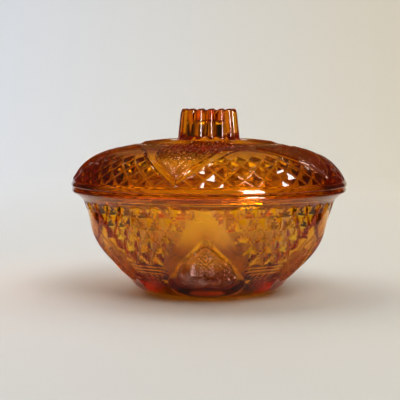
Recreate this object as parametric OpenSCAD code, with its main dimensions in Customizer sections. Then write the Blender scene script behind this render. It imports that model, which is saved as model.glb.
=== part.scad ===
// Lidded candy dish in pressed amber glass: a round bowl on a low foot ring, and a domed lid
// with a fluted, hollow knob. The lid lies loose on the bowl's rim and lifts straight off.
// Frame: +Z up, origin on the ground at the centre of the foot ring, -Y to the front, where
// one of the bowl's petal panels faces.

/* [Rims] */
// Outer radius of the bowl's rim bead
rim_r = 82; // [81:0.5:84]
// Height of the seam, where the lid's flat face lies on the bowl's flat rim
seam_z = 64; // [62:0.5:67]
// Height of each rim bead
bead_h = 3.4; // [3:0.2:4]
// How far the lid's bead stands out past the bowl's
bead_proud = 0.4; // [0:0.1:1]

/* [Bowl] */
// Outer radius of the foot ring
foot_r = 27; // [25:0.5:29]
// Width of the foot ring's flat face
foot_w = 4; // [3:0.5:6]
// How far the underside is hollowed inside the foot ring
foot_recess = 1.2; // [0.6:0.1:1.6]
// Outer radius of the wall just under the collar
neck_r = 75; // [74:0.5:77]
// Height of the collar, from the patterned wall up to the bead
collar_h = 4.8; // [4:0.2:6]
// Thickness of the wall at its thinnest
wall = 4.6; // [4.2:0.1:5.2]
// Thickness of the floor over the foot's hollow
floor_t = 5.4; // [4.8:0.1:6.5]

/* [Lid] */
// Height of the dome over the seam, at the knob
dome_h = 27; // [25:0.5:29]
// Thickness of the dome
dome_t = 4.2; // [3.8:0.1:4.8]
// Depth of the ring that keeps the lid in the bowl's mouth
skirt_h = 3; // [2:0.2:3.6]
// Radial play between that ring and the mouth
skirt_play = 0.8; // [0.4:0.1:1.2]
// How far the lid is turned from the bowl's panels, as it was set down
lid_turn = -13; // [-36:1:36]

/* [Knob] */
// Height of the knob above the dome
knob_h = 19; // [16:0.5:22]
// Outer radius of the knob at its top, over the flutes
knob_r = 16.6; // [16:0.1:18]
// How much wider the knob is at its foot
knob_flare = 1.7; // [1:0.1:2.2]
// Number of rounded flutes round the knob
flutes = 15; // [13:1:17]
// Thickness of solid glass over the knob's hollow
knob_cap = 7; // [5:0.5:8]
// Radius of the knob's hollow at its top
hollow_r = 10.2; // [8:0.2:10.6]

/* [Pressed pattern] */
// Depth of the smooth band round each petal panel
band_depth = 0.9; // [0.5:0.1:1.1]
// Depth of the diamond pits
pit_depth = 1.3; // [0.8:0.1:1.6]
// Width and height of a diamond, as a share of the room it has
pit_fill = 0.96; // [0.9:0.01:0.97]

/* [Hidden] */
amber = [0.78, 0.42, 0.08];
eps = 0.01;
round_fn = 128;     // facets of a full turn, where a true circle isn't kept
curve_steps = 14;   // points along each curved stretch of a profile
petals = 5;         // petal panels round the bowl, and round the lid
wall_turn = 2.5;    // turns a wall's starting edge away from the corners of the pits
bead_round = 1.1;   // rounding of a bead's outer corners
lip = 1.4;          // width of the rounding where a bead meets the flat seam
mouth_chamfer = 0.6;
mouth_step = 3.2;   // width of the ledge under the mouth

// The knob stands on the dome, and the whole dish is this high.
knob_base_z = seam_z + dome_h;
top_z = knob_base_z + knob_h;

// The mouth is a short upright step just inside the rim, and the lid's ring drops into it.
mouth_r = neck_r - 1;
mouth_h = skirt_h + 0.8;
inner_r = mouth_r - mouth_step;
skirt_r = mouth_r - skirt_play;
skirt_in_r = inner_r - mouth_chamfer;

// A cubic curve is its four control points; this is the point at t, from 0 to 1.
function at(curve, t) =
    let (s = 1 - t)
        s*s*s*curve[0] + 3*s*s*t*curve[1] + 3*s*t*t*curve[2] + t*t*t*curve[3];

// Its direction and speed at t.
function slope(curve, t) =
    let (s = 1 - t)
        3*s*s*(curve[1] - curve[0]) + 6*s*t*(curve[2] - curve[1]) + 3*t*t*(curve[3] - curve[2]);

// The point at t, moved sideways by out: to the right of the direction of travel.
function beside(curve, t, out) =
    let (v = slope(curve, t) / norm(slope(curve, t)))
        at(curve, t) + out * [v[1], -v[0]];

function curve_points(curve, out = 0, n = curve_steps) = [for (i = [0:n]) beside(curve, i / n, out)];

function reversed(list) = [for (i = [len(list) - 1:-1:0]) list[i]];

// Points on a circular arc, from one angle to another.
function arc(centre, r, from, to, n = 4) = [
    for (i = [0:n])
        let (q = from + (to - from) * i / n)
            centre + r * [cos(q), sin(q)]
];

// The right-hand face of a rim bead: two rounded corners and the upright between them.
function bead_face(r, z_low, z_high) = concat(
    arc([r - bead_round, z_low + bead_round], bead_round, -60, 0),
    arc([r - bead_round, z_high - bead_round], bead_round, 0, 80)
);

// The bowl's outer wall, from the foot up to the neck: it starts flat, turns up through
// a rounded shoulder and ends in a straight, slightly flared side.
wall_top_z = seam_z - bead_h - collar_h;
bowl_outside = [
    [foot_r, 0],
    [foot_r + 9, 0],
    [neck_r - 12.7, 0.19 * wall_top_z],
    [neck_r, wall_top_z]
];

// The collar swells out from the neck to the bead.
collar = [
    [neck_r + 0.4, wall_top_z + 0.3],
    [neck_r + 1.7, wall_top_z + 1.1],
    [rim_r - 2, wall_top_z + 0.45 * collar_h],
    [rim_r - 1.2, wall_top_z + collar_h - 0.3]
];

bowl_floor_z = foot_recess + floor_t;
bowl_inside = [
    [inner_r, seam_z - mouth_h - 0.8],
    [inner_r - 9.5, wall + 0.23 * wall_top_z],
    [foot_r + 12, bowl_floor_z],
    [foot_r - 7, bowl_floor_z]
];

bowl_profile = concat(
    [[0, foot_recess], [foot_r - foot_w - 1, foot_recess], [foot_r - foot_w, 0]],
    curve_points(bowl_outside),
    curve_points(collar, n = 5),
    bead_face(rim_r, seam_z - bead_h, seam_z),
    [
        [rim_r - lip, seam_z],
        [mouth_r + mouth_chamfer, seam_z],
        [mouth_r, seam_z - mouth_chamfer],
        [mouth_r, seam_z - mouth_h],
        [inner_r + 0.8, seam_z - mouth_h]
    ],
    curve_points(bowl_inside),
    [[0, bowl_floor_z]]
);

// The lid's dome, outside from just above its bead to the knob's foot, and inside from the
// knob's hollow down to the locating ring.
lid_r = rim_r + bead_proud;
dome_outside = [
    [lid_r - 1.5, seam_z + bead_h + 0.4],
    [lid_r - 10, seam_z + bead_h + 0.62 * dome_h],
    [lid_r - 20, seam_z + 0.835 * dome_h],
    [knob_r + knob_flare + 3.2, knob_base_z]
];
dome_inside = [
    [hollow_r + 2.4, knob_base_z - dome_t],
    [lid_r - 28, knob_base_z - dome_t - 1],
    [skirt_in_r - 1, seam_z + 0.72 * dome_h - dome_t],
    [skirt_in_r, seam_z]
];

// The knob's flutes are round rods let into a plain core.
hollow_top_z = top_z - knob_cap;
flute_depth = 1.5;
flute_r = 3.1;
flute_cap_h = 1.5;
flute_lean = atan(knob_flare / knob_h);
knob_foot_r = knob_r + knob_flare;
knob_dish = 0.8;    // how far the knob's top face lies under the flutes' ends

lid_profile = concat(
    [[0, hollow_top_z], [hollow_r, hollow_top_z], [hollow_r + 1.4, knob_base_z - dome_t + 1]],
    curve_points(dome_inside),
    [
        [skirt_in_r, seam_z - skirt_h + mouth_chamfer],
        [skirt_in_r + mouth_chamfer, seam_z - skirt_h],
        [skirt_r - mouth_chamfer, seam_z - skirt_h],
        [skirt_r, seam_z - skirt_h + mouth_chamfer],
        [skirt_r, seam_z],
        [lid_r - lip, seam_z]
    ],
    bead_face(lid_r, seam_z, seam_z + bead_h),
    curve_points(dome_outside),
    [
        [knob_foot_r + 0.6, knob_base_z + 0.9],
        [knob_foot_r - flute_depth, knob_base_z + 2.6],
        [knob_r - flute_depth, top_z - 2],
        [knob_r - flute_depth - 1.2, top_z - knob_dish],
        [0, top_z - knob_dish]
    ]
);

// The layer of a wall from the given depth under its surface to well outside it.
module skin(curve, depth, clear = 3)
    rotate_extrude($fn = round_fn)
        polygon(concat(curve_points(curve, -depth), reversed(curve_points(curve, clear))));

// Half of a symmetric outline on the right, closed with its mirror image.
module both_halves(half)
    polygon(concat(half, [for (p = reversed(half)) if (p[0] > eps) [-p[0], p[1]]]));

// A petal of the bowl, as seen from in front: pointed above, widest low down, round below.
module bowl_petal(tip_z, half_w, wide_z, low_z)
    both_halves(concat(
        curve_points([
            [0, tip_z],
            [0.3 * half_w, tip_z - 0.3 * (tip_z - wide_z)],
            [half_w, wide_z + 0.35 * (tip_z - wide_z)],
            [half_w, wide_z]
        ], n = 6),
        curve_points([
            [half_w, wide_z - eps],
            [half_w, low_z + 0.2 * (wide_z - low_z)],
            [0.5 * half_w, low_z],
            [0, low_z]
        ], n = 5)
    ));

// The smooth sunken band round the panel at the front of the bowl.
module bowl_band()
    rotate([90, 0, 0])
        linear_extrude(neck_r + 5)
            difference() {
                bowl_petal(tip_z = 0.86 * wall_top_z, half_w = 25.5, wide_z = 18.6, low_z = 6);
                bowl_petal(tip_z = 0.72 * wall_top_z, half_w = 19.4, wide_z = 17.5, low_z = 4);
            }

// The sunken field inside the panel's smooth border.
module bowl_field()
    rotate([90, 0, 0])
        linear_extrude(neck_r + 5)
            bowl_petal(tip_z = 0.65 * wall_top_z, half_w = 16, wide_z = 18.6, low_z = 9.7);

// The lid's panel from above: a V whose tip points to the rim, at the front. It's open towards
// the knob, where it ends at end_r.
module lid_v(tip_r, inset, end_r)
    both_halves([
        [0, -tip_r],
        [17.5 - inset, -tip_r + 12.6 + 0.2 * inset],
        [23.6 - inset, -tip_r + 17.7],
        [28 - inset, -tip_r + 31.9],
        [27 - inset, -end_r],
        [0, -end_r]
    ]);

// The smooth sunken band along the V.
module lid_band()
    translate([0, 0, seam_z])
        linear_extrude(dome_h + 2)
            difference() {
                lid_v(tip_r = lid_r - 3, inset = 0, end_r = 40);
                lid_v(tip_r = lid_r - 8, inset = 4, end_r = 30);
            }

// The cutter for a diamond-shaped pit in a wall: four faces that fall to a point. It reaches
// from one t to another along the wall's curve, with its widest part at t. Its corners lie just
// outside the surface, so a narrow ridge is left between neighbours.
module pit(curve, t, t_from, t_to, azimuth, half_a) {
    clear = 0.2;
    outside = 2;
    corners = [
        for (c = [[0, t_from], [half_a, t], [0, t_to], [-half_a, t]])
            let (p = beside(curve, c[1], clear), q = azimuth + c[0])
                [p[0] * cos(q), p[0] * sin(q), p[1]]
    ];
    ends = [
        for (out = [outside, -pit_depth])
            let (p = beside(curve, t, out))
                [p[0] * cos(azimuth), p[0] * sin(azimuth), p[1]]
    ];
    turn = t_to > t_from ? 1 : -1;
    polyhedron(concat(corners, ends), concat(
        [for (i = [0:3]) turn > 0 ? [i, 4, (i + 1) % 4] : [(i + 1) % 4, 4, i]],
        [for (i = [0:3]) turn > 0 ? [(i + 1) % 4, 5, i] : [i, 5, (i + 1) % 4]]
    ));
}

// The pits between two panels. Each row lies at its own t of the wall's curve and reaches
// halfway over its neighbours; rows[0] and the last one are only where the pattern ends.
module pits(curve, rows, counts, columns) {
    pitch = 360 / columns;
    for (k = [0:len(counts) - 1], i = [0:counts[k] - 1])
        let (t = rows[k + 1])
            pit(
                curve, t,
                t + pit_fill * (rows[k] - t),
                t + pit_fill * (rows[k + 2] - t),
                (i - (counts[k] - 1) / 2) * pitch,
                pit_fill * pitch / 2
            );
}

// Copies round the axis, the first one at the front and the rest a petal's angle apart.
module round_petals(shift = 0)
    for (i = [0:petals - 1])
        rotate([0, 0, -90 + (i + shift) * 360 / petals])
            children();

// One rounded flute, leaning inwards, with a chamfered end that stands above the knob's face.
module flute()
    translate([knob_foot_r - flute_r, 0, knob_base_z - 0.6])
        rotate([0, -flute_lean, 0]) {
            cylinder(h = knob_h - flute_cap_h + 0.6, r = flute_r, $fn = round_fn);
            translate([0, 0, knob_h - flute_cap_h + 0.6 - eps])
                cylinder(h = flute_cap_h, r1 = flute_r - eps, r2 = 0.45 * flute_r, $fn = round_fn);
        }

module bowl()
    color(amber)
        difference() {
            rotate([0, 0, wall_turn])
                rotate_extrude($fn = round_fn)
                    polygon(bowl_profile);
            round_petals()
                rotate([0, 0, 90]) {
                    intersection() {
                        skin(bowl_outside, band_depth);
                        bowl_band();
                    }
                    intersection() {
                        skin(bowl_outside, band_depth / 2);
                        bowl_field();
                    }
                }
            round_petals(shift = 0.5)
                pits(
                    bowl_outside,
                    rows = [1, 0.955, 0.898, 0.841, 0.784, 0.727],
                    counts = [7, 6, 5, 4],
                    columns = 40
                );
        }

module lid()
    color(amber)
        rotate([0, 0, lid_turn])
            difference() {
                union() {
                    difference() {
                        rotate([0, 0, wall_turn])
                            rotate_extrude($fn = round_fn)
                                polygon(lid_profile);
                        round_petals()
                            rotate([0, 0, 90])
                                intersection() {
                                    skin(dome_outside, band_depth);
                                    lid_band();
                                }
                        round_petals(shift = 0.5)
                            pits(
                                dome_outside,
                                rows = [0.01, 0.095, 0.2, 0.33, 0.47, 0.61],
                                counts = [8, 7, 6, 3],
                                columns = 45
                            );
                    }
                    for (i = [0:flutes - 1])
                        rotate([0, 0, i * 360 / flutes])
                            flute();
                }
                // the flutes must not reach into the knob's hollow
                translate([0, 0, knob_base_z - dome_t])
                    cylinder(h = hollow_top_z - knob_base_z + dome_t, r = hollow_r, $fn = round_fn);
            }

bowl();
lid();
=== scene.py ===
# %% [markdown]
# # A lidded candy dish in pressed amber glass
#
# Pressed glass is made by dropping a gob of molten glass into an iron mould and driving a smooth
# plunger into it. The mould cuts the pattern on the outside, and the plunger leaves the inside
# smooth. This lesson builds it the same way: a plain curved wall, a pattern that only moves the
# outer face in or out, and one clear amber glass all the way through.
#
# The dish is two pressings, the bowl and the lid with its hollow, fluted knob. The lid lies loose
# on the bowl's rim, so each is one closed mesh that rides on its own body of the frame.

# %% Load the frame
import math
import bmesh
import bpy
import numpy as np
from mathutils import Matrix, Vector


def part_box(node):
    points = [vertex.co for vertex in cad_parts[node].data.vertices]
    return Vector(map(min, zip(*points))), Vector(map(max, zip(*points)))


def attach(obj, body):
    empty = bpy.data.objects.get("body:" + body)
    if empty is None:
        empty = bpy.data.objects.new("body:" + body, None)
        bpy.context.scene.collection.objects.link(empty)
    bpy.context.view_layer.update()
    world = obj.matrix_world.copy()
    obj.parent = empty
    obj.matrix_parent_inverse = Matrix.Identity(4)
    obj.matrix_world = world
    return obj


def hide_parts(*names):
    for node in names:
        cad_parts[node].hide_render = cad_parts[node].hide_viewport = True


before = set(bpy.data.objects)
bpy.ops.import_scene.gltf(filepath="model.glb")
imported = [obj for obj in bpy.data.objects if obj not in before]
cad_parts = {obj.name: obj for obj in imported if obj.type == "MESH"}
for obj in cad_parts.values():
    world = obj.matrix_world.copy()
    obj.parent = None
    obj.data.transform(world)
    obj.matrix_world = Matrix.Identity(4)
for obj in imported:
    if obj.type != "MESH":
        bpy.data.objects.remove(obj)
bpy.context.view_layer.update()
bowl_low, bowl_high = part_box("bowl")
lid_low, lid_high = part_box("lid")
MM = 0.001
print("bowl's top corner", [round(c / MM, 1) for c in bowl_high])
print("lid's top corner", [round(c / MM, 1) for c in lid_high])

# %% [markdown]
# ## The main measures
#
# Everything is placed from the frame: the bowl's box gives the rim's radius and the height of the
# seam, and the lid's box gives the depth of its locating ring and the top of the knob. Working in
# millimetres keeps the numbers readable, and one factor turns them into Blender's metres.

# %% Measures in millimetres
CLEAR = 0.05
RIM_R = min(bowl_high[0], bowl_high[1], -bowl_low[0], -bowl_low[1]) / MM - CLEAR
LID_R = min(lid_high[0], lid_high[1], -lid_low[0], -lid_low[1]) / MM - CLEAR
SEAM_Z = bowl_high[2] / MM
SKIRT_Z = lid_low[2] / MM
TOP_Z = lid_high[2] / MM - CLEAR
BEAD_H = 3.4
NECK_R = RIM_R - 6.9
NECK_Z = SEAM_Z - 8.2
FOOT_R = 27
KNOB_H = 19
KNOB_Z = TOP_Z - KNOB_H
PETALS = 5
print(f"rim {RIM_R:.1f}, lid {LID_R:.1f}, seam {SEAM_Z:.1f}, ring {SKIRT_Z:.1f}, top {TOP_Z:.1f}")

# %% [markdown]
# ## Curves and distances
#
# A profile is drawn with cubic curves, because four points describe a whole sweep of wall. The
# pattern needs even spacing along the wall, so each curve is measured and looked up by its length.
# `inside` gives the distance to an outline, positive within it. It is the tool for raised borders
# and sunken bands: every step in the glass is a smooth function of that distance.


# %% Curve helpers
def curve(a, b, c, d, n=400):
    """Points along the cubic curve from a to d that is pulled towards b and c."""
    t = np.linspace(0, 1, n)[:, None]
    s = 1 - t
    a, b, c, d = (np.array(corner) for corner in (a, b, c, d))
    return s**3 * a + 3 * s * s * t * b + 3 * s * t * t * c + t**3 * d


class Profile:
    """A wall's outline in radius and height, looked up by the length along it."""

    def __init__(self, *corners):
        self.points = curve(*corners)
        self.marks = np.concatenate([[0], np.cumsum(np.hypot(*np.diff(self.points, axis=0).T))])
        self.length = self.marks[-1]

    def at(self, s):
        s = np.clip(s, 0, self.length)
        return np.interp(s, self.marks, self.points[:, 0]), np.interp(s, self.marks, self.points[:, 1])

    def along(self, s):
        """Places at the lengths s, straight on past the ends, and the normals on the left."""
        near, step = np.clip(s, 0, self.length), 0.4
        r, z = self.at(near)
        (r1, z1), (r0, z0) = self.at(near + step), self.at(near - step)
        tr, tz = r1 - r0, z1 - z0
        size = np.hypot(tr, tz)
        tr, tz = tr / size, tz / size
        return r + (s - near) * tr, z + (s - near) * tz, -tz, tr

    def even(self, n):
        """n + 1 places evenly along it, as (radius, height)."""
        r, z = self.at(np.linspace(0, self.length, n + 1))
        return list(zip(r, z))


def smooth(start, end, x):
    """0 before start, 1 after end, with a soft turn at both."""
    t = np.clip((x - start) / (end - start), 0, 1)
    return t * t * (3 - 2 * t)


def rounded(half, passes=2, cut=0.22):
    """A closed outline from its right half, with its corners cut back a few times."""
    points = np.array(half + [(-x, y) for x, y in half[::-1] if x > 0], float)
    for _ in range(passes):
        after = np.roll(points, -1, axis=0)
        early, late = (1 - cut) * points + cut * after, cut * points + (1 - cut) * after
        points = np.stack([early, late], 1).reshape(-1, 2)
    return points


def inside(x, y, outline):
    """Distance to a closed outline, positive inside it."""
    nearest = np.full(np.shape(x), 1e9)
    within = np.zeros(np.shape(x), bool)
    for (ax, ay), (bx, by) in zip(outline, np.roll(outline, -1, axis=0)):
        dx, dy = bx - ax, by - ay
        t = np.clip(((x - ax) * dx + (y - ay) * dy) / (dx * dx + dy * dy + 1e-12), 0, 1)
        nearest = np.minimum(nearest, np.hypot(x - ax - t * dx, y - ay - t * dy))
        if abs(dy) > 1e-9:
            within ^= ((ay > y) != (by > y)) & (x < ax + dx * (y - ay) / dy)
    return np.where(within, nearest, -nearest)


def diamond_pits(u, v, wanted, land=0.125):
    """Pits, 0 to 1 deep, on a checkerboard lattice, where wanted(u0, v0) is true.

    Each has four flat faces that fall to a point. Between two pits a flat ridge is left, and
    land says how wide it is."""
    best = np.zeros_like(u)
    for du in (0, 1):
        for dv in (0, 1):
            u0, v0 = np.floor(u) + du, np.floor(v) + dv
            on = ((u0 + v0) % 2 == 1) & wanted(u0, v0)
            reach = 1 - np.abs(u - u0) - np.abs(v - v0)
            best = np.maximum(best, np.where(on, (reach - land) / (1 - land), 0))
    return best


# %% [markdown]
# ## A wall that is fine only where it needs to be
#
# The panels' hair-thin relief needs a point every half millimetre, and the plain parts don't.
# So the wall is a grid of coarse cells, and each is cut up once or twice where the pattern is busy.
# A coarse cell next to a fine one takes the fine one's points into its own edge, so the surface has
# no cracks. The grid follows the lattice of the diamonds, and each cell's diagonal is laid along
# the nearest ridge, so the facets meet in clean straight lines. Edges sharper than the crease angle
# are shaded sharp and the rest smooth.


# %% The shell builder
ROW_UNITS = 16
CELL = 4
CREASE = 14


class Shell:
    """Collects the points and faces of one closed pressing, on rings of `around` units."""

    def __init__(self, around):
        self.around = around
        self.numbers, self.faces = {}, []

    def number(self, name, i, j):
        """The number of the point at (i, j) on the named surface, new or already used."""
        return self.numbers.setdefault((name, i % self.around, j), len(self.numbers))

    def wall(self, name, rows, step_of):
        """Square cells over the rows; step_of(i, j) gives each cell's step: 1, 2 or 4 units."""
        ci, cj = np.meshgrid(np.arange(0, self.around, CELL), np.arange(0, rows, CELL), indexing="ij")
        cells = list(zip(ci.ravel().tolist(), cj.ravel().tolist(), step_of(ci, cj).ravel().tolist()))
        used = set()
        for i0, j0, step in cells:
            for i in range(i0, i0 + CELL + 1, step):
                for j in range(j0, j0 + CELL + 1, step):
                    used.add((i % self.around, j))
        for i0, j0, step in cells:
            for i in range(i0, i0 + CELL, step):
                for j in range(j0, j0 + CELL, step):
                    self.cell(name, i, j, step, used)

    def cell(self, name, i, j, step, used):
        """One square, with its neighbours' points in its edge, or two triangles if it has only four."""
        ring = [(i + k, j) for k in range(step)] + [(i + step, j + k) for k in range(step)]
        ring += [(i + step - k, j + step) for k in range(step)] + [(i, j + step - k) for k in range(step)]
        p = [self.number(name, a, b) for a, b in ring if (a % self.around, b) in used]
        if len(p) > 4:
            self.faces.append(p)
        elif (math.floor(i / ROW_UNITS) + math.floor(j / ROW_UNITS)) % 2:
            self.faces += [(p[0], p[1], p[2]), (p[0], p[2], p[3])]
        else:
            self.faces += [(p[0], p[1], p[3]), (p[1], p[2], p[3])]

    def ring(self, name, j, step):
        """The points of one whole ring, every step units."""
        return [self.number(name, i, j) for i in range(0, self.around, step)]

    def bands(self, rings):
        """Joins rings in turn. A ring may have a whole number of times its neighbour's points."""
        for low, high in zip(rings, rings[1:]):
            a, b = len(low), len(high)
            n = min(a, b)
            for k in range(n):
                lower = [low[(k * (a // n) + m) % a] for m in range(a // n + 1)]
                upper = [high[(k * (b // n) + m) % b] for m in range(b // n + 1)]
                self.faces.append(lower + upper[::-1])

    def piece(self, name, place, plunger_rings):
        """Makes the object; place(names, i, j) gives every point in millimetres.

        The points on plunger_rings are marked, so that the glass can treat the inside apart."""
        keys = sorted(self.numbers, key=self.numbers.get)
        names = [k[0] for k in keys]
        i, j = np.array([k[1] for k in keys], float), np.array([k[2] for k in keys], float)
        mesh = bpy.data.meshes.new(name)
        mesh.from_pydata((place(names, i, j) * MM).tolist(), [], self.faces)
        mesh.polygons.foreach_set("use_smooth", [True] * len(mesh.polygons))
        shape = bmesh.new()
        shape.from_mesh(mesh)
        bmesh.ops.recalc_face_normals(shape, faces=shape.faces)
        volume = shape.calc_volume()
        open_edges = sum(not e.is_manifold for e in shape.edges)
        shape.to_mesh(mesh)
        shape.free()
        mesh.set_sharp_from_angle(angle=math.radians(CREASE))
        print(f"{name}: {len(keys)} points, {sum(len(f) - 2 for f in self.faces)} triangles,"
              f" {volume / MM**3 / 1000:.0f} cm3 of glass, {open_edges} open edges")
        inner = mesh.attributes.new("plunger_side", "FLOAT", "POINT")
        inner.data.foreach_set("value", [float(n in plunger_rings) for n in names])
        made = bpy.data.objects.new(name, mesh)
        bpy.context.scene.collection.objects.link(made)
        return made


def turned(r, z, i, around, turn=0):
    """Points in space from radius, height and place round the ring, counted from the front."""
    angle = i * 2 * np.pi / around - np.pi / 2 + math.radians(turn)
    return np.stack([r * np.cos(angle), r * np.sin(angle), z], 1)


# %% [markdown]
# ## The bowl's pattern
#
# Round the bowl stand five petal panels, with a triangle of sunk diamonds between each two. The
# mould had raised points there, so the glass has pits with thin ridges between them. Forty columns
# of diamonds go round, and every row has one fewer than the row above, so the triangle's sides
# follow the petals. The wall is unrolled for this: `u` counts half columns from the nearest panel's
# axis, `v` counts rows down from the rim, `x` is the distance from the panel's axis and `down` is
# the distance below the neck, in millimetres.

# %% The bowl's wall and lattice
bowl_wall = Profile((NECK_R, NECK_Z), (NECK_R - 12.7, 10.7), (FOOT_R + 9, 0), (FOOT_R, 0))
BOWL_AROUND = 1280
BOWL_HALVES = BOWL_AROUND // PETALS // ROW_UNITS
ROW_H = 7.5
ABOVE_NECK = 1.25
COLLAR_ROWS = 8
patterned = bowl_wall.length + ABOVE_NECK
BOWL_ROWS = CELL * round(patterned / ROW_H * ROW_UNITS / CELL)
BOWL_UNIT = patterned / BOWL_ROWS
print(f"the bowl's wall is {bowl_wall.length:.1f} mm long, in {BOWL_ROWS} units of {BOWL_UNIT:.3f} mm")


def bowl_grid(i, j):
    """u, v, x and down for grid units i and j."""
    sector = BOWL_AROUND / PETALS
    side = (i + sector / 2) % sector - sector / 2
    down = j * BOWL_UNIT - ABOVE_NECK
    x = np.radians(side * 360 / BOWL_AROUND) * bowl_wall.along(down)[0]
    return i % sector / ROW_UNITS, j / ROW_UNITS, x, down


# %% [markdown]
# ## The petal panels
#
# A petal is drawn with three outlines: the foot of the bevel, which only counts low down, the raised
# border, and the sunken field inside it. Each is a right half, across and down in millimetres, that
# is mirrored and rounded. In the field lies a thumbprint of fine relief, which catches the light as
# a sparkle rather than as lines that can be counted.

# %% The petal's outlines
BEVEL = rounded([(0, 18), (12, 32), (20.4, 44), (23.2, 50.4),
                 (22, 60), (16.6, 68), (10.4, 72.6), (4, 73.8), (0, 72.4)])
BORDER = rounded([(0, 14.4), (8.6, 25), (14.6, 32.4), (18.9, 39.6), (21.4, 45.6),
                  (21.4, 51.4), (16.6, 58.4), (10, 62.2), (0, 63.4)])
FIELD = rounded([(0, 19.6), (8.9, 29), (15.8, 38), (17.4, 45),
                 (16, 50.6), (9.8, 54.4), (0, 54.8)])
print("points in the petal's outlines:", [len(outline) for outline in (BEVEL, BORDER, FIELD)])


# %% The thumbprint in the field
def waves_of(length, distance):
    """A wave, from -1 to 1, with the given length from crest to crest."""
    return np.cos(distance * 2 * np.pi / length)


def thumbprint(x, down, field):
    """The fine relief in a panel: nested points above, a fan of waves below, and a beaded edge."""
    relief, bead_relief, grain_relief = 0.45, 0.4, 0.16
    peak = np.abs(x) * 1.2 + np.abs(down - 31)
    nested = relief * waves_of(3.2, peak - 3.3) * smooth(7.6, 6.4, peak)
    bow = down - 36.5 + 0.035 * x * x
    waves = relief * np.cos(bow * 2 * np.pi / 1.6 + 0.9 * np.sin(x * 1.3))
    waves = waves * smooth(6.2, 7.6, peak) * smooth(33, 36, down)
    grain = grain_relief * np.sin(x * 4.3 + 1.1 * np.sin(down * 3.1)) * np.sin(down * 3.9 + np.sin(x * 2.3))
    at_edge = smooth(0.2, 0.6, field) * smooth(1.9, 1.4, field)
    beads = bead_relief * waves_of(1.5, x + down * np.sign(x)) * at_edge
    return (nested + waves + grain) * smooth(1.5, 2.3, field) + beads


# %% [markdown]
# ## One height for the whole pattern
#
# The whole pattern is one number at each place: how far the bowl's face stands out from the plain
# wall. The diamonds only take glass away. Under the last row come a row of dimples, fine ridges and
# a stippled tip. The petal's band climbs to its border, so it faces up and looks dark, and the
# border slopes back in to the field. At the foot the petal stands proud above a steep bevel.

# %% How far the bowl's face stands out
PIT_DEPTH = 2.1
DIMPLE_DEPTH = 1.2
FRAME_H = 1.9
CLIMB_W = 10.5
LAST_ROW = 4


def under_diamonds(u, v, down):
    """The ridges and the stippled tip below the dimples."""
    ridge_h, stipple_h = 0.12, 0.25
    edge = np.minimum(u, BOWL_HALVES - u) - v + 1
    tip = smooth(0.1, 0.4, edge) * smooth(5.0, 5.1, v) * smooth(7.6, 7.4, v)
    ridges = ridge_h * waves_of(0.33, v - 5.2) * smooth(6.05, 5.95, v)
    stipple = stipple_h * np.sin(u * 7 + 1.7 * np.sin(down * 2.1)) * np.sin(down * 4.2) * smooth(6.0, 6.15, v)
    return tip * (ridges + stipple)


def petal_height(u, v, x, down):
    """The band, the border, the field and the foot end of the nearest petal."""
    lip, field_drop, thin_line = 0.3, 0.3, 0.35
    border = inside(x, down, BORDER)
    field = inside(x, down, FIELD)
    below = inside(x, down, BEVEL)
    foot_end = smooth(46.5, 52.5, down)
    climb = np.clip(border / CLIMB_W + 1, 0, 1) ** 1.3
    climb = climb * smooth(-0.3, 0.8, v - np.minimum(u, BOWL_HALVES - u)) * smooth(66, 54, down)
    ramp = np.where(border > 0, 1, np.clip(below / (below - border + 1e-6), 0, 1))
    slope_in = np.where(field > 0, 1, np.clip(border / (border - field + 1e-6), 0, 1))
    h = FRAME_H * (climb * (1 - foot_end) + ramp * foot_end)
    h -= slope_in * (FRAME_H - lip) * smooth(62, 55, down)
    h += thin_line * np.exp(-((below / 0.5) ** 2)) * smooth(50, 53, down)
    h -= field_drop * smooth(-0.2, 0.4, field)
    return h + thumbprint(x, down, field)


def bowl_height(i, j):
    u, v, x, down = bowl_grid(i, j)
    middle = BOWL_HALVES / 2
    h = -PIT_DEPTH * diamond_pits(
        u, v, lambda u0, v0: (v0 >= 0) & (v0 <= LAST_ROW) & (np.abs(u0 - middle) <= 7 - v0), land=0)
    dimples = diamond_pits(u, v, lambda u0, v0: (v0 == LAST_ROW + 1) & (np.abs(u0 - middle) <= 2))
    h -= DIMPLE_DEPTH * dimples * smooth(5.5, 4.9, v)
    return h + under_diamonds(u, v, down) + petal_height(u, v, x, down)


# %% [markdown]
# ## Building the bowl
#
# The outer wall is the fine grid. Above it the collar swells out to the bead, and the pits of the
# top row run into it, which gives the wavy line under the rim. The rim's flat top, the mouth, the
# smooth inside and the hollow foot follow as plain rings, and the last ring closes the mesh. The
# rim stops a hair below the lid, because two faces in the same place would confuse the light.

# %% The bowl's plain rings
SEAM_GAP = 0.04
RIM_Z = SEAM_Z - SEAM_GAP
MOUTH_R = NECK_R - 1
INSIDE_RINGS = 40
FLOOR_Z = 6.6
FOOT_HOLLOW = 1.2


def arc(r, z, radius, start, end, n=3):
    """Places on a small arc about (r, z), as (radius, height)."""
    angles = np.radians(np.linspace(start, end, n))
    return [(r + radius * math.cos(a), z + radius * math.sin(a)) for a in angles]


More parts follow.
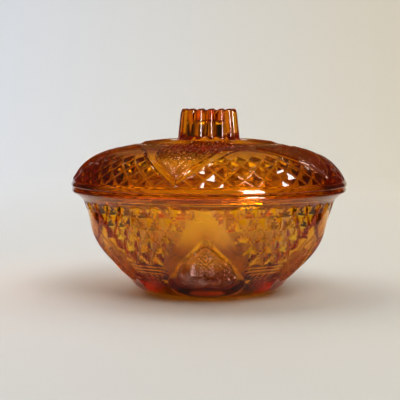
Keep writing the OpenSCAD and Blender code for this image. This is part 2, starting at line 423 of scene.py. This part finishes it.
LOW_ROUND, HIGH_ROUND = 1.5, 1.6
bowl_bead = arc(RIM_R - LOW_ROUND, RIM_Z - BEAD_H + LOW_ROUND, LOW_ROUND, -60, 0, 5)
bowl_bead += arc(RIM_R - HIGH_ROUND, RIM_Z - HIGH_ROUND, HIGH_ROUND, 0, 85, 6)
bowl_rim = [(MOUTH_R + 0.8, RIM_Z), (MOUTH_R + 0.2, RIM_Z - 0.25), (MOUTH_R, RIM_Z - 0.8),
            (MOUTH_R - 0.1, RIM_Z - 3.6), (MOUTH_R - 0.5, RIM_Z - 4), (MOUTH_R - 2.4, RIM_Z - 4.2)]
bowl_inside = Profile((MOUTH_R - 3.2, RIM_Z - 4.8), (MOUTH_R - 12.7, 17.5),
                      (FOOT_R + 12, FLOOR_Z), (18, FLOOR_Z))
bowl_floor = [(r, FLOOR_Z) for r in (13, 8, 3)]
foot = [(FOOT_R - 0.6, 0), (FOOT_R - 3.2, 0), (FOOT_R - 4, 0.3), (FOOT_R - 5, 1)]
foot += [(r, FOOT_HOLLOW) for r in (18, 12, 6, 2)]
bowl_upper = bowl_bead + bowl_rim + bowl_inside.even(INSIDE_RINGS) + bowl_floor
bowl_plain = {("upper", n): p for n, p in enumerate(bowl_upper)}
bowl_plain.update({("foot", n): p for n, p in enumerate(foot)})
print(len(bowl_plain), "plain rings on the bowl")


# %% The bowl's mesh
COLLAR_OUT = 3.9
COLLAR_REACH = 6


def bowl_step(i, j):
    """How finely a cell is cut: 1 in the panels' relief, 2 in the diamonds, 4 on smooth glass."""
    u, v, x, down = bowl_grid(i + CELL / 2, j + CELL / 2)
    border = inside(x, down, BORDER)
    field = inside(x, down, FIELD)
    beside = v - np.minimum(u, BOWL_HALVES - u)
    step = np.where((beside < 0.8) & (v > 5) & (v < 7.8), 2, 4)
    step = np.where((beside < 0) & (v > 4.9) & (v < 6.1), 1, step)
    step = np.where((border > -8) & (border < 2), 2, step)
    step = np.where(border > -1.2, 1, step)
    step = np.where((border > 0.9) & (field < -0.5), 2, step)
    return np.where(v < 0.3, 2, step)


def place_bowl(names, i, j):
    """The patterned wall with its collar, and the plain rings."""
    down = j * BOWL_UNIT - ABOVE_NECK
    r, z, nr, nz = bowl_wall.along(down)
    h = bowl_height(i, j) * smooth(bowl_wall.length - 0.5, bowl_wall.length - 4, down)
    collar = COLLAR_OUT * np.clip((1 - down) / COLLAR_REACH, 0, 1) ** 1.5
    h *= smooth(-0.8, 0.4, down)
    r, z = r + h * nr + collar, z + h * nz
    for n, name in enumerate(names):
        if name != "wall":
            r[n], z[n] = bowl_plain[name]
    return turned(r, z, i, BOWL_AROUND)


bowl_shell = Shell(BOWL_AROUND)
bowl_shell.wall("wall", BOWL_ROWS, bowl_step)
upwards = [bowl_shell.ring("wall", -j, 2) for j in range(COLLAR_ROWS + 1)]
for key in bowl_plain:
    if key[0] == "upper":
        upwards.append(bowl_shell.ring(key, 0, 2 if key[1] < len(bowl_bead) else 8))
bowl_shell.bands(upwards[::-1])
bowl_shell.faces.append(upwards[-1])
downwards = [bowl_shell.ring("wall", BOWL_ROWS, 4)]
downwards += [bowl_shell.ring(key, 0, 4 if key[1] < 1 else 8) for key in bowl_plain if key[0] == "foot"]
bowl_shell.bands(downwards)
bowl_shell.faces.append(downwards[-1][::-1])
bowl_plunged = {("upper", n) for n in range(len(bowl_bead) + 2, len(bowl_upper))}
bowl = bowl_shell.piece("bowl_pressing", place_bowl, bowl_plunged)

# %% [markdown]
# ## The lid's pattern
#
# The lid repeats the theme with forty-five columns. A smooth ribbon runs round it in five Vs, between
# two thin raised lines, with sunk diamonds outside the Vs and lace inside them. Round the knob lies
# a ring of fine spokes. On the dome `s` is the length up from the bead, in millimetres, and the rows
# of diamonds grow a little wider on the way up.

# %% The lid's wall and lattice
lid_wall = Profile((LID_R - 1.2, SEAM_Z + 4.0), (LID_R - 10, 84.2),
                   (LID_R - 20.2, 86.5), (20.4, KNOB_Z + 0.05))
LID_AROUND = 1440
LID_HALVES = LID_AROUND // PETALS // ROW_UNITS
LID_ROWS = 148
SPLIT = 96
LID_TURN = -12.2
FIRST_ROW_H, ROW_GROWTH = 4.75, 0.1


def lid_s(j):
    """The length along the dome at grid unit j: rows of diamonds that widen, then even rings."""
    v = np.minimum(j, SPLIT) / ROW_UNITS
    widening = FIRST_ROW_H * v + ROW_GROWTH * v * v
    start = FIRST_ROW_H * SPLIT / ROW_UNITS + ROW_GROWTH * (SPLIT / ROW_UNITS) ** 2
    return widening + np.maximum(j - SPLIT, 0) * (lid_wall.length - start) / (LID_ROWS - SPLIT)


def lid_grid(i, j):
    """u, v, x and s for grid units i and j of the lid."""
    sector = LID_AROUND / PETALS
    side = (i + sector / 2) % sector - sector / 2
    s = lid_s(j)
    x = np.radians(side * 360 / LID_AROUND) * lid_wall.along(s)[0]
    return i % sector / ROW_UNITS, j / ROW_UNITS, x, s


print(f"the dome is {lid_wall.length:.1f} mm long, and its diamonds end at {lid_s(SPLIT):.1f} mm")

# %% [markdown]
# ## The ribbon
#
# The ribbon swings out from each V's tip at the rim towards the knob. Its two edges are curves of
# half the V's width against the length up the dome, so the ribbon is wide where they part.


# %% The ribbon's edges
def outer_edge(s):
    up = [0, 6, 9.6, 13.4, 17, 20.5, 25, 31.7, 36, 38.5]
    return np.interp(s, up, [0, 6.5, 11, 14.5, 17.3, 20, 22.8, 25.6, 28.5, 32.5])


def inner_edge(s):
    return np.interp(s, [5, 8, 11.5, 15, 19.8, 26, 36, 44, 70], [0, 3.2, 6.1, 9, 12.6, 15.2, 17, 17, 17])


# %% How far the lid's face stands out
LID_PIT_DEPTH = 1.6
LINE_H = 0.55
RIBBON_DEPTH = 0.75
EDGE_SLANT = 0.75
SCALLOPS = 40
SPOKES = 80
SPOKES_R = 42


def spoke_ring(i, r):
    """The ring of spokes round the knob, with a scalloped step at its edge."""
    azimuth = i * 2 * np.pi / LID_AROUND
    scallop = SPOKES_R + 1.2 * np.abs(np.sin(azimuth * SCALLOPS / 2))
    spokes = 0.8 * np.cos(azimuth * SPOKES) * smooth(24, 27, r) * smooth(40.5, 38.5, r)
    return smooth(scallop + 0.6, scallop - 0.6, r) * (0.6 + spokes)


def lid_height(i, j):
    u, v, x, s = lid_grid(i, j)
    middle = LID_HALVES / 2
    h = -LID_PIT_DEPTH * diamond_pits(
        u, v, lambda u0, v0: (v0 >= 0) & (v0 <= LAST_ROW) & (np.abs(u0 - middle) <= 8 - v0))
    # distances are measured across, and the edges run at a slant
    from_outer = (outer_edge(s) - np.abs(x)) * EDGE_SLANT
    from_inner = (inner_edge(s) - np.abs(x)) * EDGE_SLANT
    line = LINE_H * np.exp(-((from_outer / 0.45) ** 2)) * smooth(41, 38, s)
    rib = LINE_H * np.exp(-((from_inner / 0.4) ** 2)) * smooth(4.6, 5.2, s) * smooth(46, 42, s)
    ribbon = smooth(0.2, 1.2, from_outer) * smooth(-0.2, -1.0, from_inner) * smooth(45, 41, s)
    lace = smooth(0.5, 1.3, from_inner) * smooth(46, 43, s)
    grain = np.sin(x * 3.6 + 1.3 * np.sin(s * 2.7)) * np.sin(s * 3.3 + np.sin(x * 2.1))
    waves = np.cos((s + 0.02 * x * x) * 2 * np.pi / 2.6 + 0.8 * np.sin(x * 1.1)) * smooth(20, 24, s)
    h += line + rib - RIBBON_DEPTH * ribbon + lace * (-0.3 + 0.3 * grain + 0.35 * waves)
    return h + spoke_ring(i, lid_wall.along(s)[0])


# %% [markdown]
# ## Building the lid
#
# The dome is the fine grid again. At the rim it meets the bead, then the flat that lies on the bowl,
# the locating ring, and the smooth inside that runs up into the knob's hollow. The knob has fifteen
# flutes: round lobes with sharp valleys, which is the shape that |cos| draws round a circle. Where
# the valleys reach the knob's top they dip, so its rim is scalloped.

# %% The lid's plain rings
LID_Z = SEAM_Z + SEAM_GAP
SKIRT_R = MOUTH_R - 0.8
SKIRT_IN_R = MOUTH_R - 3.8
HOLLOW_R = 10.8
bead_places = [(1.7, BEAD_H), (1.0, 3.32), (0.6, 3.05), (0.4, 2.7), (0.2, 2.0),
               (0.03, 1.3), (0, 0.9), (0.25, 0.4), (0.9, 0.05)]
lid_bead = [(LID_R - inset, LID_Z + up) for inset, up in bead_places]
lid_under = [(SKIRT_R + 0.5, LID_Z), (SKIRT_R, LID_Z - 0.4), (SKIRT_R, SKIRT_Z + 0.6),
             (SKIRT_R - 0.6, SKIRT_Z), (SKIRT_IN_R + 0.6, SKIRT_Z), (SKIRT_IN_R, SKIRT_Z + 0.6)]
lid_inside = Profile((SKIRT_IN_R, SKIRT_Z + 1.4), (SKIRT_IN_R - 1, 79.5),
                     (LID_R - 28, KNOB_Z - 5), (14.5, KNOB_Z - 4.2))
hollow = [(13, KNOB_Z - 3.9), (12.2, KNOB_Z - 3), (11.8, KNOB_Z), (11.2, KNOB_Z + 5), (HOLLOW_R, TOP_Z - 9.5),
          (10, TOP_Z - 8), (8.2, TOP_Z - 7.2), (5, TOP_Z - 6.9), (1.5, TOP_Z - 6.8)]
lid_lower = lid_bead + lid_under + lid_inside.even(INSIDE_RINGS) + hollow
lid_plain = {("under", n): p for n, p in enumerate(lid_lower)}
print(len(lid_plain), "plain rings on the lid")

# %% The knob's rings: radius, height over the dome, and how deep the flutes are, 0 to 1
FLUTES = 15
FLUTE_DEPTH = 2.4
FLUTE_PHASE = 16.8
SCALLOP_DEPTH = 2
KNOB_LOW_R, KNOB_TAPER = 18.4, 1.7
knob = [(19.6, 0.4, 0), (19, 0.9, 0.1), (18.7, 1.6, 0.45), (18.5, 2.4, 0.85), (KNOB_LOW_R, 3.4, 1)]
knob += [(KNOB_LOW_R - KNOB_TAPER * (z - 3.4) / 15.6, z, 1) for z in (5, 7, 9, 11, 13, 15, 16.4)]
knob += [(16.6, 17.4, 1), (16.35, 18.2, 0.95), (15.8, 18.75, 0.85), (15, KNOB_H, 0.7), (14.1, 18.85, 0.5),
         (13.2, 18.5, 0.3), (12, 18.25, 0.1), (9, 18.15, 0), (5, 18.1, 0), (1.5, 18.1, 0)]
knob_rings = {("knob", n): p for n, p in enumerate(knob)}
print(len(knob_rings), "rings on the knob")


# %% The lid's mesh
def lid_step(i, j):
    """How finely a cell is cut, as on the bowl."""
    x, s = lid_grid(i + CELL / 2, j + CELL / 2)[2:]
    from_outer, from_inner = outer_edge(s) - np.abs(x), inner_edge(s) - np.abs(x)
    step = np.where((from_outer > 2.5) & (from_inner < -2), 4, 2)
    step = np.where((from_inner > -1) & (s > 4) & (s < 40), 1, step)
    step = np.where((s > 26) & (s < 42) & (step == 1), 2, step)
    return np.where(j < 4, 2, np.where(j > LID_ROWS - 9, 4, step))


def place_lid(names, i, j):
    """The patterned dome, the plain rings, and the knob with its flutes."""
    s = lid_s(np.minimum(j, LID_ROWS))
    r, z, nr, nz = lid_wall.along(s)
    h = -lid_height(i, j) * smooth(0, 0.8, s) * smooth(lid_wall.length, lid_wall.length - 3, s)
    r, z = r + h * nr, z + h * nz
    for n, name in enumerate(names):
        if name in lid_plain:
            r[n], z[n] = lid_plain[name]
        elif name in knob_rings:
            out, up, fluted = knob_rings[name]
            valley = 1 - abs(math.cos((i[n] / LID_AROUND - FLUTE_PHASE / 360) * math.pi * FLUTES))
            r[n] = out - FLUTE_DEPTH * fluted * valley
            z[n] = KNOB_Z + up - SCALLOP_DEPTH * valley * smooth(15.5, 18.6, up) * smooth(12, 14, out)
    return turned(r, z, i, LID_AROUND, LID_TURN)


lid_shell = Shell(LID_AROUND)
lid_shell.wall("wall", LID_ROWS, lid_step)
inwards = [lid_shell.ring("wall", 0, 2)]
inwards += [lid_shell.ring(key, 0, 4 if key[1] < len(lid_bead) else 8) for key in lid_plain]
lid_shell.bands(inwards)
lid_shell.faces.append(inwards[-1][::-1])
up_knob = [lid_shell.ring("wall", LID_ROWS, 4)] + [lid_shell.ring(key, 0, 4) for key in knob_rings]
lid_shell.bands(up_knob[::-1])
lid_shell.faces.append(up_knob[-1])
lid_plunged = {("under", n) for n in range(len(lid_bead) + 2, len(lid_lower))}
lid = lid_shell.piece("lid_pressing", place_lid, lid_plunged)

# %% [markdown]
# ## One amber glass
#
# Amber glass is clear glass coloured through its whole body by iron and sulphur, so a thick edge
# looks brown and a thin wall looks honey. In Blender that is a glass surface with a volume that
# absorbs all the blue, some green and very little red. A volume alone would leave the thinnest glass
# almost clear, so the surface is tinted as well. The lid's tint is darker than the bowl's, and that
# is painted shade, standing in for the dim room above that darkens the lid.
#
# The mould's side is polished and sharp. The plunger's side is given a little haze, which hides the
# far wall's pattern behind the near one. The mark that each mesh carries on its inside sets that.

# %% The glass
CLEAR_GLASS_IOR = 1.52
MOULD_HAZE, PLUNGER_HAZE = 0.03, 0.12
BODY_COLOUR = (0.966, 0.803, 0, 1)
BODY_DENSITY = 250


def amber_glass(name, tint):
    material = bpy.data.materials.new(name)
    material.use_nodes = True
    nodes, links = material.node_tree.nodes, material.node_tree.links
    surface = nodes["Principled BSDF"]
    surface.inputs["Base Color"].default_value = (*tint, 1)
    surface.inputs["Transmission Weight"].default_value = 1
    surface.inputs["IOR"].default_value = CLEAR_GLASS_IOR
    surface.inputs["Specular IOR Level"].default_value = 0.2
    inner = nodes.new("ShaderNodeAttribute")
    inner.attribute_name = "plunger_side"
    haze = nodes.new("ShaderNodeMapRange")
    haze.inputs["To Min"].default_value = MOULD_HAZE
    haze.inputs["To Max"].default_value = PLUNGER_HAZE
    links.new(inner.outputs["Fac"], haze.inputs["Value"])
    links.new(haze.outputs["Result"], surface.inputs["Roughness"])
    volume = nodes.new("ShaderNodeVolumeAbsorption")
    volume.inputs["Color"].default_value = BODY_COLOUR
    volume.inputs["Density"].default_value = BODY_DENSITY
    links.new(volume.outputs["Volume"], nodes["Material Output"].inputs["Volume"])
    return material


# The lid's darker tint is painted shade for the dim room above it.
for piece, body, tint in ((bowl, "bowl", (1, 0.81, 0.22)), (lid, "lid", (0.85, 0.64, 0.21))):
    piece.data.materials.append(amber_glass(body + "_glass", tint))
    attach(piece, body)
    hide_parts(body)
    print(piece.name, "is made of", piece.data.materials[0].name, "and rides on", body)

# %% [markdown]
# ## A table and a backdrop
#
# Glass shows what stands around it. A pale table that sweeps up into a pale backdrop gives it
# something even to bend. The paper's colour turns from a cool tint on the left to a warm one on the
# right. That is painted light: the colour that a window on one side and a lamp on the other would give it.


# %% The paper
def plain_paper(name, left, right):
    """Matt paper whose colour turns from one tint to another across the middle of the table, as painted light
    where the two tints differ.
    """
    half_w = 0.4
    material = bpy.data.materials.new(name)
    material.use_nodes = True
    nodes, links = material.node_tree.nodes, material.node_tree.links
    place, split = nodes.new("ShaderNodeTexCoord"), nodes.new("ShaderNodeSeparateXYZ")
    across, tint = nodes.new("ShaderNodeMapRange"), nodes.new("ShaderNodeMix")
    tint.data_type = "RGBA"
    across.inputs["From Min"].default_value = -half_w
    across.inputs["From Max"].default_value = half_w
    tint.inputs["A"].default_value, tint.inputs["B"].default_value = (*left, 1), (*right, 1)
    links.new(place.outputs["Object"], split.inputs["Vector"])
    links.new(split.outputs["X"], across.inputs["Value"])
    links.new(across.outputs["Result"], tint.inputs["Factor"])
    links.new(tint.outputs["Result"], nodes["Principled BSDF"].inputs["Base Color"])
    nodes["Principled BSDF"].inputs["Roughness"].default_value = 0.6
    return material


def stage_sheet(name, points, faces, left, right):
    """A sheet of paper for the studio, linked to the scene and not attached to the dish."""
    mesh = bpy.data.meshes.new(name)
    mesh.from_pydata(points, [], faces)
    mesh.polygons.foreach_set("use_smooth", [True] * len(faces))
    mesh.materials.append(plain_paper(name, left, right))
    made = bpy.data.objects.new(name, mesh)
    bpy.context.scene.collection.objects.link(made)
    return made


# %% The sweep: floor and backdrop in one sheet, with a large soft bend
across, depth, front, height, bend = 3.0, 1.6, -2.0, 2.2, 0.6
quarter = np.radians(np.linspace(0, 90, 17))
line = [(depth - bend + bend * math.sin(a), bend - bend * math.cos(a)) for a in quarter]
line = [(front, 0)] + line + [(depth, height)]
points = [(x, y, z) for y, z in line for x in (-across, across)]
faces = [(2 * n, 2 * n + 1, 2 * n + 3, 2 * n + 2) for n in range(len(line) - 1)]
# The cool tint on the left and the warm one on the right are painted light.
stage_sheet("sweep", points, faces, (0.78, 0.8, 0.83), (0.75, 0.69, 0.57))
print(f"the sweep is {2 * across:.1f} m wide and {height:.1f} m high, in {len(faces)} strips")

# %% [markdown]
# ## Dark cards for dark edges
#
# Clear glass in an all-white room has hardly any outline. Photographers stand black cards close to
# it, out of the frame, and the glass bends them into its flanks as dark edges. Here are one on each
# side and a brown one high behind, which darkens every facet that faces up. They throw no shadow and
# the camera doesn't see them, so only the glass shows that they are there.


# %% The cards
def card(name, points, shade):
    made = stage_sheet(name, points, [(0, 1, 2, 3)], shade, shade)
    made.visible_camera = made.visible_diffuse = made.visible_shadow = False


BLACK, BROWN = (0.03, 0.025, 0.02), (0.16, 0.12, 0.08)
NEAR, CARD_H = 0.24, 0.28
for name, x in (("flag_left", -NEAR), ("flag_right", NEAR)):
    card(name, [(x, -0.25, 0), (x, 0.3, 0), (x, 0.3, CARD_H), (x, -0.25, CARD_H)], BLACK)
BEHIND_Y, BEHIND_HALF_W, BEHIND_TOP = 0.9, 1.2, 1.1
card("flag_behind", [(-BEHIND_HALF_W, BEHIND_Y, CARD_H), (BEHIND_HALF_W, BEHIND_Y, CARD_H),
                     (BEHIND_HALF_W, BEHIND_Y, BEHIND_TOP), (-BEHIND_HALF_W, BEHIND_Y, BEHIND_TOP)], BROWN)
print(f"cards {NEAR * 2:.2f} m apart, and one {BEHIND_Y:.1f} m behind")

# %% [markdown]
# ## Soft light
#
# Two broad boxes overhead light the paper, a cool one on the left and a warm one on the right, and a
# fill in front on the right puts the soft shadow on the left. All three are hidden from reflections,
# or they would lie over the lid as a white veil. The white glints come from one tall box in front on
# the right, which stands in for a window and lights nothing else.
#
# Sun or lamp light that passes through amber glass lands on the table as a warm patch. That would
# take very many samples to trace, so a small amber lamp beside the bowl paints it instead.


# %% The lights
def softbox(name, at, aim, size, watts, colour=(1, 1, 1)):
    light = bpy.data.lights.new(name, "AREA")
    light.shape = "RECTANGLE"
    light.size, light.size_y = size
    light.energy, light.color = watts, colour
    made = bpy.data.objects.new(name, light)
    made.location = at
    made.rotation_euler = (Vector(aim) - Vector(at)).to_track_quat("-Z", "Y").to_euler()
    bpy.context.scene.collection.objects.link(made)
    return made


sky_left = softbox("sky_left", (-1.1, 0.6, 1.9), (-0.3, 1.0, 0.3), (2.2, 2.2), 27, (0.97, 0.98, 1))
lamp_right = softbox("lamp_right", (1.1, 0.6, 1.9), (0.3, 1.0, 0.3), (2.2, 2.2), 21, (1, 0.99, 0.95))
fill = softbox("fill", (0.7, -1.4, 1.9), (0, 0, 0), (1.4, 1.2), 21)
window = softbox("front_window", (0.92, -1.18, 0.68), (0, 0, 0.06), (0.5, 1.15), 38)
glow = softbox("amber_glow", (-0.15, -0.02, 0.16), (-0.12, -0.02, 0), (0.12, 0.08), 0.035, (1, 0.4, 0.02))
for light in (sky_left, lamp_right, fill, glow):
    light.visible_glossy = False
window.visible_diffuse = False
glow.visible_transmission = False
print("lights:", [(light.name, light.data.energy) for light in (sky_left, lamp_right, fill, window, glow)])

# %% The room's own dim light
world = bpy.data.worlds.new("room")
bpy.context.scene.world = world
world.use_nodes = True
world.node_tree.nodes["Background"].inputs["Color"].default_value = (1, 1, 1, 1)
world.node_tree.nodes["Background"].inputs["Strength"].default_value = 0.07

# %% [markdown]
# ## The camera
#
# A long lens from across the table, a little above the rim, keeps the dish's outline true. Light
# crosses many faces inside a pressed bowl and its lid, so the paths need more bounces than usual.

# %% The camera
DISTANCE, EYE_Z = 0.72, 0.115
LENS, SENSOR = 108, 36
ORBIT, PITCH, YAW = 1.6, 4.76, 0.43
camera_data = bpy.data.cameras.new("camera")
camera_data.lens, camera_data.sensor_width = LENS, SENSOR
camera = bpy.data.objects.new("camera", camera_data)
bpy.context.scene.collection.objects.link(camera)
orbit = math.radians(ORBIT)
camera.location = (DISTANCE * math.sin(orbit), -DISTANCE * math.cos(orbit), EYE_Z)
camera.rotation_euler = (math.radians(90 - PITCH), 0, orbit + math.radians(YAW))
bpy.context.scene.camera = camera
print(f"the camera stands {DISTANCE:.2f} m away, {EYE_Z * 1000:.0f} mm over the table")

# %% Bounces and the view's contrast
THROUGH_GLASS, OFF_GLASS = 24, 8
cycles = bpy.context.scene.cycles
cycles.max_bounces = cycles.transmission_bounces = THROUGH_GLASS
cycles.glossy_bounces = OFF_GLASS
bpy.context.scene.view_settings.view_transform = "Standard"
bpy.context.scene.view_settings.gamma = 0.85
